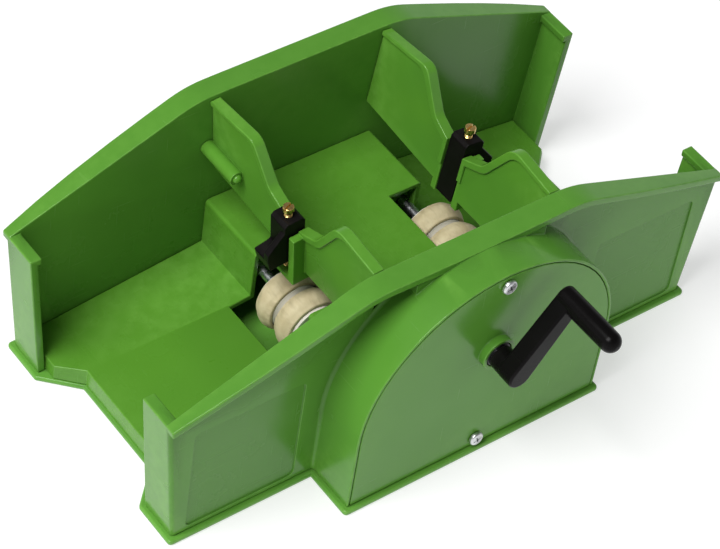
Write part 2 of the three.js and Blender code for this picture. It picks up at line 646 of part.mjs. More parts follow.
// Half of a divider: a plate with a bead along its top edge.
// The bead is what is left of a thicker plate when the same outline, moved down and back, is taken out.
function dividerHalf(profile, towards) {
  const plate = prismX(profile(), -DIVIDER_HALF_THICK, DIVIDER_HALF_THICK);
  const thick = prismX(profile(), -BEAD_HALF_THICK, BEAD_HALF_THICK);
  const moved = prismX(profile(), -3, 3).translate(0, towards * 2, -2.2);
  const edge = towards < 0 ? GATE_BAY.y0 : GATE_BAY.y1;
  const [y0, y1] = [edge, towards * 60].sort((a, b) => a - b);
  return join(plate, cut(thick, moved).intersect(box(-3, 3, y0, y1, 10, 60)));
}

function divider(side) {
  const inner = -DIVIDER_HALF_THICK;
  const outer = LEDGE.outer;
  const frontPost = leaningBox(side, inner, outer, FRONT_POST.y, GATE_BAY.y0, BAY_FLOOR, FRONT_POST.top);
  const rearPost = leaningBox(side, inner, outer, GATE_BAY.y1, REAR_POST.y, BAY_FLOOR, REAR_POST.top);
  const ledge = leaningBox(side, LEDGE.inner, outer, FRONT_POST.y, REAR_POST.y, BAY_FLOOR, LEDGE.top);
  const { out, up, radius, y } = DIVIDER_BOSS;
  const boss = rodY(radius, y, DIVIDER_END, side * out, up);
  const pilot = rodY(1.5, DIVIDER_END - 11.5, DIVIDER_END + 1, side * out, up, 12);
  const halves = [dividerHalf(frontHalf, -1), dividerHalf(rearHalf, 1)];
  return cut(join(...halves, frontPost, rearPost, ledge, boss), pilot);
}

function gate(side) {
  const { y0, y1, outer, foot, crotch, top, chamfer } = GATE;
  const inner = -DIVIDER_HALF_THICK;
  const mirrored = (corners) => outline(corners.map(([out, ...rest]) => [side * out, ...rest]));
  const section = mirrored([
    [inner, foot],
    [GATE_LEG, foot],
    [GATE_LEG, crotch],
    [GATE_TAB.out - 1, crotch],
    [GATE_TAB.out, GATE_TAB.tip, 0.6, 2],
    [outer, GATE_TAB.root, 1.2, 3],
    [outer, top - chamfer],
    [outer - chamfer, top],
    [inner + chamfer, top],
    [inner, top - chamfer],
  ]);
  const rib = mirrored([
    [outer - 1, crotch],
    [GATE_TAB.out - 1, crotch],
    [GATE_TAB.out, GATE_TAB.tip],
    [GATE_TAB.out, GATE_RIB.tip, 0.8, 3],
    [outer, GATE_RIB.root],
    [outer - 1, GATE_RIB.root],
  ]);
  const bore = rodZ(GATE_SCREW.radius + GAP, foot - 1, top + 1, side * GATE_SCREW.out, GATE_SCREW.y, 16);
  return cut(join(prismY(section, y0, y1), prismY(rib, y0, GATE_RIB.y)), bore);
}

function gateScrew(side) {
  const { out, y, radius, head, headHeight, top } = GATE_SCREW;
  const x = side * out;
  const shank = rodZ(radius, LEDGE.top + GAP, top - headHeight + 0.5, x, y, 16);
  const slot = box(x - 4, x + 4, y - 0.35, y + 0.35, top - 0.9, top + 1);
  return cut(join(shank, rodZ(head, top - headHeight, top, x, y, 20)), slot);
}

function addDivider(name, side) {
  const leaning = new THREE.Group();
  leaning.position.set(side * DIVIDER_X, 0, DIVIDER_Z);
  leaning.rotation.y = side * DIVIDER_LEAN;
  shuffler.add(leaning);
  addPart(`${name}_divider`, divider(side), FINISH.green, leaning);
  addPart(`${name}_gate`, gate(side), FINISH.black, leaning);
  addPart(`${name}_gate_screw`, gateScrew(side), FINISH.brass, leaning);
  const screw = addPart(`${name}_divider_screw`, panScrew(1.2, 13, 2.8, 1.7), FINISH.steel);
  const { x, z } = dividerScrewPlace(side);
  screw.rotation.z = Math.PI;
  screw.position.set(x, HALF_OUTER + GAP, z);
}

// ---------- Assembly ----------
addPart('main_body', mainBody(), FINISH.green);
addPart('card_deck', cardDeck(), FINISH.green);
addPart('base_plate', basePlate(), FINISH.green);
addPart('gear_cover', gearCover(), FINISH.green);
for (const [place, z] of Object.entries(COVER_SCREWS_Z)) {
  const screw = addPart(`cover_screw_${place}`, panScrew(1.3, 12, 2.8, 1.6), FINISH.steel);
  screw.position.set(0, -HOUSING_FRONT - GAP, z);
}
for (const [across, sx] of [['left', -1], ['right', 1]]) {
  for (const [along, sy] of [['front', -1], ['rear', 1]]) {
    const screw = addPart(`base_screw_${along}_${across}`, panScrew(1.3, 7, 3, 1.5), FINISH.steel);
    screw.rotation.x = Math.PI / 2;
    screw.position.set(sx * BASE_SCREW.x, sy * BASE_SCREW.y, 1.9);
  }
}
addGears();
addPart('idler_pin', rodY(2, -HOUSING_FRONT + 1.5, -HALF_OUTER + 0.8), FINISH.steel)
  .position.set(idlerPlace.x, 0, idlerPlace.z);
addRoller('left', -1);
addRoller('right', 1);
addCrank();
addDivider('left', -1);
addDivider('right', 1);

export default shuffler;
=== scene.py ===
import json
import math

import bmesh
import bpy
from mathutils import Matrix, Vector


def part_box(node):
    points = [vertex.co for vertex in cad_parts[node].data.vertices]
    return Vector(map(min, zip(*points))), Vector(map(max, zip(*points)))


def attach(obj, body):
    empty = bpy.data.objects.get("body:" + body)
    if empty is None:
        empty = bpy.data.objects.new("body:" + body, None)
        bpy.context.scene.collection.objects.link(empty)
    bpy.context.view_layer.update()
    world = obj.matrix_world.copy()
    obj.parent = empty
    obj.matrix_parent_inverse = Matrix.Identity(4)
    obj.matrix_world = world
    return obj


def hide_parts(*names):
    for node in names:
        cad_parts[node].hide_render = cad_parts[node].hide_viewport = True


# Looks for the hand-cranked card shuffler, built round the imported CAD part. Metres, in the CAD frame.
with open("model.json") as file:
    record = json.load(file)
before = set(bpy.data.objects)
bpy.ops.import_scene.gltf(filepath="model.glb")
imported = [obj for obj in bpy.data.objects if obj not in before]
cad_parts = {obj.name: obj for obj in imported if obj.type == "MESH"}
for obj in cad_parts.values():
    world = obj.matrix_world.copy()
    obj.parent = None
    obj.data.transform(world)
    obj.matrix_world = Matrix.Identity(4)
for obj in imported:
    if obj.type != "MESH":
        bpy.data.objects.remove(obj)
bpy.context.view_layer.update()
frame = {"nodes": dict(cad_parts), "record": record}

MM = 0.001

# Camera. The lens is in millimetres on the sensor's width, and the angles are in radians.
CAMERA_PLACE = (-0.47741, -0.50958, 0.75438)
CAMERA_AZIMUTH = 0.752
CAMERA_ELEVATION = 0.808
CAMERA_ROLL = 0.167
CAMERA_LENS = 142.37
CAMERA_SENSOR = 36

# Case
WALL_FACE = 50 * MM              # outer face of the long walls, from the middle
WALL_CORNER_X = 112 * MM         # beyond this are the four outer corners
RETURN_TOP = (104 * MM, 57 * MM) # beyond this x and above this z are the ends of the rims
FOOT_LEVEL = 2.6 * MM            # edges below this stand on the base plate
HOUSING_HALF = 55 * MM
HOUSING_CROWN = 86 * MM          # above this the housing runs into the rim
CORNER_RADIUS = 1.6 * MM
RETURN_RADIUS = 0.6 * MM
FOOT_RADIUS = 0.45 * MM
HIDDEN_RADIUS = 0.12 * MM
HOUSING_FILLET = 1.4 * MM

# Screws
COVER_SEAT = -70.4 * MM          # y under the heads of the cover screws
REAR_SEAT = 50.3 * MM            # y under the heads of the divider screws
FLOOR_SEAT = 1.9 * MM            # z under the heads of the base screws
THREAD_PITCH = 1.15 * MM
THREAD_DEPTH = 0.32 * MM
POINT_LENGTH = 1.9 * MM
RECESS_REACH = 1.55 * MM         # half length of each arm of the cross recess
RECESS_HALF = 0.33 * MM

# Dividers and gates
LEAN = math.radians(5.7)
DIVIDER_FOOT = (33 * MM, 50 * MM)   # x and z that the dividers lean about
ADJUSTER_PLACE = (3 * MM, -0.7 * MM)
ADJUSTER_LOW = -0.3 * MM
ADJUSTER_TOP = 29.4 * MM
ADJUSTER_RADIUS = 1.5 * MM
ADJUSTER_HEAD = 2.0 * MM
ADJUSTER_HEAD_HEIGHT = 2.2 * MM
ADJUSTER_PITCH = 0.5 * MM
ADJUSTER_THREAD = 0.27 * MM
PEG_PLACE = (3.6 * MM, 29 * MM, 16 * MM)
PEG_RADIUS = 1.7 * MM

# Rollers
TYRE_BORE = 9.9 * MM
TYRE_SHOULDER = 0.8 * MM
TYRE_CROWN = 0.95 * MM           # how far the tread falls from its middle to its shoulders
TYRE_SEAM = 0.06 * MM

# Crank. The hub and the grip are measured outwards from the middle of the case.
CRANK_HEIGHT = 52.5 * MM
CRANK_TILT = math.radians(36)
CRANK_THROW = 31.1 * MM
ARM_BACK = -78 * MM
ARM_FRONT = -85 * MM
ARM_EDGE = 0.9 * MM
ARM_HUB_RADIUS = 4.8 * MM
ARM_TIP_RADIUS = 3.4 * MM
GRIP_DOME = (102.7 * MM, 3.88 * MM)
HUB_PROFILE = (
    (4.0 * MM, 73.4 * MM), (4.45 * MM, 73.6 * MM), (4.6 * MM, 74.0 * MM), (4.7 * MM, 78 * MM), (4.7 * MM, 83.4 * MM),
)
GRIP_PROFILE = (
    (3.2 * MM, 78.35 * MM), (3.65 * MM, 78.5 * MM), (3.9 * MM, 78.9 * MM), (4.0 * MM, 79.6 * MM),
    (4.02 * MM, 86 * MM), (4.0 * MM, 94 * MM), (3.93 * MM, 100 * MM), (3.88 * MM, 102.5 * MM),
)
CRANK_BORE = ((3.3 * MM, 70 * MM), (3.3 * MM, 82 * MM))

# Studio
FLOOR_SIZE = 6
KEY_PLACE = (-0.95, -0.03, 1.50)
KEY_AIM = (0, 0, 0.04)
KEY_SIZE = (0.9, 0.9)
KEY_POWER = 35
SKY_HORIZON = 0.8
SKY_ZENITH = 0.17

scene = bpy.context.scene
NODE_BODY = {
    node: body
    for body, nodes in frame["record"]["behaviour"]["bodies"].items()
    for node in nodes
}


# ---------- Camera ----------
def place_camera():
    """The camera looks along its azimuth, down by its elevation, and is rolled about its own axis."""
    aim = Vector((
        math.cos(CAMERA_ELEVATION) * math.sin(CAMERA_AZIMUTH),
        math.cos(CAMERA_ELEVATION) * math.cos(CAMERA_AZIMUTH),
        -math.sin(CAMERA_ELEVATION),
    ))
    level = aim.cross(Vector((0, 0, 1))).normalized()
    upright = level.cross(aim)
    right = level * math.cos(CAMERA_ROLL) + upright * math.sin(CAMERA_ROLL)
    up = upright * math.cos(CAMERA_ROLL) - level * math.sin(CAMERA_ROLL)
    data = bpy.data.cameras.new("camera")
    data.lens = CAMERA_LENS
    data.sensor_width = CAMERA_SENSOR
    data.sensor_fit = "HORIZONTAL"
    data.clip_start = 0.05
    data.clip_end = 20
    data.dof.use_dof = False
    camera = bpy.data.objects.new("camera", data)
    scene.collection.objects.link(camera)
    matrix = Matrix((right, up, -aim)).transposed().to_4x4()
    matrix.translation = Vector(CAMERA_PLACE)
    camera.matrix_world = matrix
    scene.camera = camera


# ---------- Finishes ----------
class Finish:
    """A node material, with short ways to add the nodes that every finish here uses."""

    def __init__(self, name):
        self.material = bpy.data.materials.new(name)
        self.material.use_nodes = True
        self.tree = self.material.node_tree
        self.tree.nodes.clear()
        self.place = self.add("ShaderNodeTexCoord").outputs["Object"]
        self.edge = self.add("ShaderNodeAttribute", attribute_name="edge").outputs["Fac"]

    def add(self, kind, inputs=None, **settings):
        """A new node. An input is a socket to link from, or a value."""
        node = self.tree.nodes.new(kind)
        for key, value in settings.items():
            setattr(node, key, value)
        for key, value in (inputs or {}).items():
            if isinstance(value, bpy.types.NodeSocket):
                self.tree.links.new(value, node.inputs[key])
            else:
                node.inputs[key].default_value = value
        return node

    def noise(self, scale, detail, stretch=(1, 1, 1), turn=(0, 0, 0)):
        """Noise from 0 to 1. The scale, or the stretch where the scale is 1, is in cycles per metre."""
        moved = self.add("ShaderNodeMapping", {"Vector": self.place, "Scale": stretch, "Rotation": turn})
        inputs = {"Vector": moved.outputs["Vector"], "Scale": scale, "Detail": detail, "Roughness": 0.55}
        return self.add("ShaderNodeTexNoise", inputs).outputs["Fac"]

    def spread(self, value, low, high, to_low=0.0, to_high=1.0):
        """The range from low to high stretched over another range, and clamped to it."""
        inputs = {"Value": value, "From Min": low, "From Max": high, "To Min": to_low, "To Max": to_high}
        return self.add("ShaderNodeMapRange", inputs, clamp=True).outputs["Result"]

    def maths(self, operation, a, b):
        return self.add("ShaderNodeMath", {0: a, 1: b}, operation=operation).outputs["Value"]

    def blend(self, factor, a, b):
        """Colour a where the factor is 0 and b where it is 1."""
        return self.add("ShaderNodeMix", {0: factor, 6: a, 7: b}, data_type="RGBA").outputs[2]

    def tinted(self, tone, factor, strength, colour):
        """A tone with another colour laid over it, at most as strongly as the strength."""
        return self.blend(self.maths("MULTIPLY", factor, strength), tone, colour)

    def bump(self, height, distance, strength, below=None):
        inputs = {"Height": height, "Distance": distance, "Strength": strength}
        if below is not None:
            inputs["Normal"] = below
        return self.add("ShaderNodeBump", inputs).outputs["Normal"]

    def close(self, inputs):
        """The finished material."""
        shader = self.add("ShaderNodeBsdfPrincipled", inputs)
        self.add("ShaderNodeOutputMaterial", {"Surface": shader.outputs["BSDF"]})
        return self.material


def scaled(colour, factor):
    """A colour made darker or paler, with no channel above 1."""
    return tuple(min(1.0, c * factor) for c in colour[:3]) + (1,)


def plastic(name, colour, deep, worn, rough, sheen=0.5, wear=0.5):
    """Moulded plastic: slow drifts of tone, fine grain, hairline scratches, paler corners, painted shade in the
    creases.
    """
    f = Finish(name)
    drift = f.spread(f.noise(26, 2), 0.3, 0.7)
    speckle = f.spread(f.noise(1400, 2), 0.35, 0.65)
    hairs_across = f.spread(f.noise(1, 2, (1100, 24, 30), (0.5, 0.2, 0.4)), 0.66, 0.76)
    hairs_along = f.spread(f.noise(1, 2, (30, 26, 1000), (0.3, 0.5, 0.2)), 0.66, 0.76)
    hairs = f.maths("MAXIMUM", hairs_across, hairs_along)
    rubbed = f.maths("MULTIPLY", f.spread(f.edge, 0.15, 0.9), f.spread(f.noise(210, 4), 0.38, 0.62, 0.25, 1.0))
    # Painted shade: creases are darkened in colour where shade would fall, and they are also made rougher.
    painted_crease_shade = f.spread(f.edge, -0.1, -0.8)

    tone = f.blend(drift, deep, colour)
    tone = f.tinted(tone, speckle, 0.10, deep)
    tone = f.tinted(tone, rubbed, wear, worn)
    tone = f.tinted(tone, painted_crease_shade, 0.45, scaled(deep, 0.55))

    gloss = f.spread(f.noise(75, 4), 0.3, 0.7, rough - 0.05, rough + 0.05)
    gloss = f.maths("ADD", gloss, f.maths("MULTIPLY", hairs, 0.08))
    gloss = f.maths("ADD", gloss, f.maths("MULTIPLY", painted_crease_shade, 0.12))

    skin = f.bump(f.noise(420, 2), 0.12 * MM, 0.10)
    skin = f.bump(f.noise(2600, 2), 0.04 * MM, 0.12, skin)
    skin = f.bump(f.maths("SUBTRACT", 1.0, hairs), 0.02 * MM, 0.12, skin)
    return f.close({
        "Base Color": tone, "Roughness": gloss, "IOR": 1.5, "Specular IOR Level": sheen, "Normal": skin,
        "Metallic": 0.0,
    })


def metal(name, colour, dull, rough, turned_scale):
    """Turned or plated metal: fine tool rings, cloudy tarnish, brighter corners."""
    f = Finish(name)
    tarnish = f.spread(f.noise(160, 4), 0.42, 0.72)
    rings = f.noise(1, 1, (turned_scale * 0.02, turned_scale, turned_scale * 0.02))
    bright = f.spread(f.edge, 0.15, 0.9)
    tone = f.tinted(f.blend(tarnish, colour, dull), bright, 0.35, scaled(colour, 1.25))
    gloss = f.spread(f.noise(700, 3), 0.3, 0.7, rough - 0.07, rough + 0.09)
    gloss = f.maths("ADD", gloss, f.maths("MULTIPLY", tarnish, 0.12))
    skin = f.bump(rings, 0.02 * MM, 0.25)
    skin = f.bump(f.noise(1900, 2), 0.03 * MM, 0.15, skin)
    return f.close({"Base Color": tone, "Roughness": gloss, "Metallic": 1.0, "Normal": skin})


def rubber(name, colour, dark):
    """Matt rubber: mottled, pitted, and darker where cards have rubbed it."""
    f = Finish(name)
    mottle = f.spread(f.noise(190, 4), 0.3, 0.7)
    pits = f.spread(f.noise(3100, 3), 0.55, 0.75)
    smear = f.spread(f.noise(1, 2, (420, 90, 420)), 0.5, 0.75)
    tone = f.tinted(f.blend(mottle, colour, dark), smear, 0.45, scaled(dark, 0.6))
    gloss = f.spread(f.noise(240, 3), 0.3, 0.7, 0.62, 0.82)
    skin = f.bump(pits, 0.06 * MM, 0.5)
    skin = f.bump(f.noise(640, 2), 0.1 * MM, 0.25, skin)
    return f.close({"Base Color": tone, "Roughness": gloss, "IOR": 1.52, "Specular IOR Level": 0.3, "Normal": skin})


# Colours are linear red, green, blue and alpha.
GREEN = (0.086, 0.252, 0.029, 1)
GREEN_DEEP = (0.076, 0.231, 0.025, 1)
GREEN_WORN = (0.15, 0.36, 0.055, 1)
LOOKS = {
    "shell": plastic("green_gloss_plastic", GREEN, GREEN_DEEP, GREEN_WORN, 0.21, 0.25),
    "deck": plastic(
        "green_satin_plastic", (0.087, 0.256, 0.022, 1), (0.077, 0.234, 0.019, 1), GREEN_WORN, 0.27, 0.25),
    "divider": plastic("green_clear_gloss_plastic", (0.094, 0.27, 0.023, 1), GREEN_DEEP, GREEN_WORN, 0.19, 0.25),
    "crank_handle": plastic(
        "black_gloss_plastic", (0.0045, 0.004, 0.004, 1), (0.0025, 0.0022, 0.0022, 1), (0.03, 0.028, 0.027, 1),
        0.24, sheen=0.075, wear=0.3),
    "gate": plastic(
        "black_satin_plastic", (0.006, 0.005, 0.005, 1), (0.0035, 0.003, 0.003, 1), (0.03, 0.027, 0.025, 1),
        0.36, sheen=0.06, wear=0.3),
    "adjuster": metal("turned_brass", (0.83, 0.56, 0.20, 1), (0.40, 0.24, 0.08, 1), 0.26, 5200),
    "tyre": rubber("cream_rubber", (0.60, 0.52, 0.33, 1), (0.46, 0.38, 0.22, 1)),
    "gear": plastic(
        "natural_acetal", (0.66, 0.63, 0.54, 1), (0.56, 0.53, 0.45, 1), (0.76, 0.74, 0.68, 1), 0.42, wear=0.4),
    "bush": plastic(
        "black_acetal", (0.012, 0.012, 0.012, 1), (0.007, 0.007, 0.007, 1), (0.05, 0.05, 0.05, 1), 0.45, wear=0.4),
    "screw": metal("zinc_plated_steel", (0.72, 0.73, 0.75, 1), (0.42, 0.42, 0.41, 1), 0.28, 3600),
    "shaft": metal("ground_steel", (0.66, 0.67, 0.70, 1), (0.40, 0.40, 0.41, 1), 0.22, 7800),
}

# ---------- Meshes ----------
SHARP_ENOUGH = math.radians(9)   # SHARP_ENOUGH = math.radians(9) # a turn of the surface that starts to show wear or painted crease shade
SHARPEST = math.radians(29)      # a turn that shows it in full
ROUNDED_FROM = math.radians(28)  # sharper edges than this are rounded
SIDE_ANGLE = math.radians(32)    # edges that leave at more than this limit the radius


def mark_edges(mesh):
    """Stores how sharply the surface turns at each vertex: above 0 on outer corners, below 0 in creases."""
    made = bmesh.new()
    made.from_mesh(mesh)
    values = []
    for vertex in made.verts:
        turns = [e.calc_face_angle_signed(0.0) for e in vertex.link_edges if len(e.link_faces) == 2]
        sharpest = max(turns, key=abs, default=0.0)
        size = max(0.0, abs(sharpest) - SHARP_ENOUGH) / (SHARPEST - SHARP_ENOUGH)
        values.append(math.copysign(min(1.0, size), sharpest))
    made.free()
    attribute = mesh.attributes.new("edge", "FLOAT", "POINT")
    attribute.data.foreach_set("value", values)


def bare_copy(node):
    """The CAD node's surface without its triangulation."""
    made = bmesh.new()
    made.from_mesh(frame["nodes"][node].data)
    bmesh.ops.remove_doubles(made, verts=made.verts, dist=0.002 * MM)
    bmesh.ops.dissolve_limit(
        made, angle_limit=math.radians(0.1), use_dissolve_boundaries=False, verts=made.verts, edges=made.edges)
    bmesh.ops.connect_verts_concave(made, faces=made.faces)
    return made


def add_piece(name, mesh, node, slot, smooth_angle=35):
    """A finished mesh that stands for one CAD node and moves with its body."""
    mesh.shade_smooth()
    mesh.set_sharp_from_angle(angle=math.radians(smooth_angle))
    mesh = modified(mesh, "WEIGHTED_NORMAL", keep_sharp=True, weight=100, mode="FACE_AREA")
    mesh.name = name
    mark_edges(mesh)
    mesh.materials.clear()
    mesh.materials.append(LOOKS[slot])
    piece = bpy.data.objects.new(name, mesh)
    scene.collection.objects.link(piece)
    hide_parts(node)
    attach(piece, NODE_BODY[node])
    return piece


def modified(mesh, kind, **settings):
    """The mesh after one modifier."""
    carrier = bpy.data.objects.new("carrier", mesh)
    scene.collection.objects.link(carrier)
    modifier = carrier.modifiers.new("change", kind)
    for key, value in settings.items():
        setattr(modifier, key, value)
    evaluated = carrier.evaluated_get(bpy.context.evaluated_depsgraph_get())
    result = bpy.data.meshes.new_from_object(evaluated)
    bpy.data.objects.remove(carrier)
    return result


def room_beside(edge):
    """The largest radius that fits beside an edge: under half of the shortest edge that leaves it at an angle."""
    room = 1.0
    for loop in edge.link_loops:
        here = (loop.link_loop_next.vert.co - loop.vert.co).normalized()
        for side in (loop.link_loop_prev, loop.link_loop_next):
            along = side.link_loop_next.vert.co - side.vert.co
            if abs(here.dot(along.normalized())) < math.cos(SIDE_ANGLE):
                room = min(room, 0.42 * along.length)
    return room


def rounded(node, name, slot, outer, inner=None, softer=None):
    """The CAD node with its outer corners rounded to one radius and its creases filled to another.
    softer(edge, signed_angle) may give an edge a radius of its own, in metres."""
    inner = outer * 0.5 if inner is None else inner
    made = bare_copy(node)
    weights = made.edges.layers.float.new("bevel_weight_edge")
    chosen = {}
    for edge in made.edges:
        if len(edge.link_faces) != 2:
            continue
        turn = edge.calc_face_angle_signed(0.0)
        if abs(turn) < ROUNDED_FROM:
            continue
        own = softer(edge, turn) if softer else None
        chosen[edge] = own if own is not None else (outer if turn > 0 else inner)
    chosen = {edge: min(radius, room_beside(edge)) for edge, radius in chosen.items()}
    widest = max(chosen.values())
    for edge, radius in chosen.items():
        edge[weights] = radius / widest
    mesh = bpy.data.meshes.new(name)
    made.to_mesh(mesh)
    made.free()
    final = modified(
        mesh, "BEVEL", width=widest, segments=3, limit_method="WEIGHT", use_clamp_overlap=False,
        harden_normals=False, loop_slide=False)
    return add_piece(name, final, node, slot)


def skinned(loops, wrapped=False):
    """Quads between successive loops of points. The two ends are capped, unless the loops wrap round into a ring."""
    made = bmesh.new()
    rings = [[made.verts.new(point) for point in loop] for loop in loops]
    following = rings[1:] + rings[:1] if wrapped else rings[1:]
    for low, high in zip(rings, following):
        for k in range(len(low)):
            n = (k + 1) % len(low)
            made.faces.new((low[k], low[n], high[n], high[k]))
    if not wrapped:
        made.faces.new(rings[0])
        made.faces.new(rings[-1])
    return made


def turned(profile, sides, wave=None):
    """Loops round Z from (radius, z) points. wave(angle, z) adds to the radius, as a thread does."""
    loops = []
    for radius, z in profile:
        loop = []
        for k in range(sides):
            angle = 2 * math.pi * k / sides
            r = radius + (wave(angle, z) if wave else 0.0)
            loop.append((r * math.cos(angle), r * math.sin(angle), z))
        loops.append(loop)
    return loops


def block(x0, x1, y0, y1, z0, z1, taper=0.0):
    """Loops of an upright block whose lower end is narrower by the taper on every side."""
    t = taper
    return [
        [(x0 + t, y0 + t, z0), (x1 - t, y0 + t, z0), (x1 - t, y1 - t, z0), (x0 + t, y1 - t, z0)],
        [(x0, y0, z1), (x1, y0, z1), (x1, y1, z1), (x0, y1, z1)],
    ]


def to_mesh(made, name, place=Matrix.Identity(4)):
    """A mesh from a bmesh, which is freed, with its faces turned outwards."""
    mesh = bpy.data.meshes.new(name)
    made.transform(place)
    bmesh.ops.recalc_face_normals(made, faces=made.faces)
    made.to_mesh(mesh)
    made.free()
    return mesh


def combined(mesh, other, operation):
    """One mesh joined with or cut by another."""
    tool = bpy.data.objects.new("tool", other)
    scene.collection.objects.link(tool)
    result = modified(mesh, "BOOLEAN", object=tool, operation=operation, solver="EXACT")
    bpy.data.objects.remove(tool)
    return result


def arc(centre, radius, start, end, steps):
    """Points on an arc in the (radius, z) plane, angles in degrees."""
    points = []
    for k in range(steps + 1):
        angle = math.radians(start + (end - start) * k / steps)
        points.append((centre[0] + radius * math.cos(angle), centre[1] + radius * math.sin(angle)))
    return points


def thread(pitch, depth, low, high):
    """A 60-degree thread for turned(), cut into the radius and fading out over one pitch at each end."""
    def wave(angle, z):
        phase = (z / pitch - angle / (2 * math.pi)) % 1
        fade = min(1.0, max(0.0, (z - low) / pitch), max(0.0, (high - z) / pitch))
        return -depth * fade * min(1.0, abs(2 * phase - 1) * 1.15)
    return wave


place_camera()


# ---------- Case ----------
def case_radius(edge, turn):
    """Larger radii down the four outer corners and where the gear housing meets the wall."""
    a, b = (v.co for v in edge.verts)
    middle = (a + b) / 2
    outward = turn > 0
    tall = abs(a.z - b.z) > 20 * MM
    if outward and tall and abs(middle.x) > WALL_CORNER_X and abs(abs(middle.y) - WALL_FACE) < 0.3 * MM:
        return CORNER_RADIUS
    if max(a.z, b.z) < FOOT_LEVEL:
        on_outline = abs(middle.y) > WALL_FACE - 0.5 * MM or abs(middle.x) > 108 * MM
        return FOOT_RADIUS if outward and on_outline else HIDDEN_RADIUS
    if outward and abs(middle.x) > RETURN_TOP[0] and middle.z > RETURN_TOP[1]:
        return RETURN_RADIUS
    on_wall = max(abs(a.y + WALL_FACE), abs(b.y + WALL_FACE)) < 0.05 * MM
    if not outward and on_wall and abs(middle.x) < HOUSING_HALF and middle.z < HOUSING_CROWN:
        return HOUSING_FILLET
    return None


rounded("main_body", "case_moulding", "shell", 0.45 * MM, 0.3 * MM, case_radius)
plinth = rounded("base_plate", "plinth_moulding", "shell", 0.9 * MM, 0.3 * MM)
# Painted light: the plinth gets a paler copy of the shell's green, which stands in for the light it catches.
plinth.data.materials[0] = plastic(
    "green_plinth_painted_light_plastic", (0.118, 0.325, 0.046, 1), (0.105, 0.30, 0.040, 1), GREEN_WORN, 0.24, 0.3)
rounded("card_deck", "deck_moulding", "deck", 0.4 * MM, 0.25 * MM)
rounded("gear_cover", "cover_moulding", "shell", 0.35 * MM, 0.3 * MM)
rounded("crank_bush", "crank_bearing", "bush", 0.2 * MM)


# ---------- Screws ----------
TO_FRONT = Matrix.Rotation(math.radians(90), 4, "X")
TO_REAR = Matrix.Rotation(math.radians(-90), 4, "X")
TO_FLOOR = Matrix.Rotation(math.radians(180), 4, "X")


def pan_screw(node, name, place, turn_out, head, height, shank, length):
    """A pan-head tapping screw with a cross recess. Made standing on its point, then turned so the head faces out."""
    head_curve = arc((head - height * 0.55, 0.42 * height), height * 0.55, 0, 62, 6)
    crown = [(head * 0.62, height * 0.93), (head * 0.34, height * 0.985), (head * 0.12, height)]
    profile = [(0.15 * MM, -length), (shank * 0.45, -length + 0.9 * MM)]
    steps = int((length - 2 * MM) / (0.2 * MM))
    thread_start = -length + POINT_LENGTH
    profile += [(shank, thread_start + (length - 2.2 * MM) * k / steps) for k in range(steps + 1)]
    profile += [(shank, -0.02 * MM), (head - 0.12 * MM, 0.0), (head, 0.12 * MM)] + head_curve + crown
    wave = thread(THREAD_PITCH, THREAD_DEPTH, thread_start, -0.8 * MM)
    mesh = to_mesh(skinned(turned(profile, 32, wave)), name)
    for quarter in (0, 90):
        arm = skinned(block(
            -RECESS_REACH, RECESS_REACH, -RECESS_HALF, RECESS_HALF, 0.25 * MM, height + 0.3 * MM, 0.16 * MM))
        tool = to_mesh(arm, "recess", Matrix.Rotation(math.radians(quarter + 20), 4, "Z"))
        mesh = combined(mesh, tool, "DIFFERENCE")
    mesh.transform(Matrix.Translation(place) @ turn_out)
    add_piece(name, mesh, node, "screw", 30)


def middle_of(node):
    """The middle of a CAD node's box."""
    low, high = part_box(node)
    return (low + high) / 2


for place in ("upper", "lower"):
    spot = middle_of(f"cover_screw_{place}")
    pan_screw(
        f"cover_screw_{place}", f"cover_fixing_{place}", (spot.x, COVER_SEAT, spot.z), TO_FRONT,
        2.8 * MM, 1.6 * MM, 1.3 * MM, 12 * MM)
for side in ("left", "right"):
    spot = middle_of(f"{side}_divider_screw")
    pan_screw(
        f"{side}_divider_screw", f"{side}_divider_fixing", (spot.x, REAR_SEAT, spot.z), TO_REAR,
        2.8 * MM, 1.7 * MM, 1.2 * MM, 13 * MM)
    for end in ("front", "rear"):
        spot = middle_of(f"base_screw_{end}_{side}")
        pan_screw(
            f"base_screw_{end}_{side}", f"base_fixing_{end}_{side}", (spot.x, spot.y, FLOOR_SEAT), TO_FLOOR,
            3.0 * MM, 1.5 * MM, 1.3 * MM, 7 * MM)


# ---------- Dividers and gates ----------
def leaning(side):
    """From the frame that leans with a divider to the row frame. side is -1 or 1."""
    foot = Matrix.Translation((side * DIVIDER_FOOT[0], 0, DIVIDER_FOOT[1]))
    return foot @ Matrix.Rotation(side * LEAN, 4, "Y")


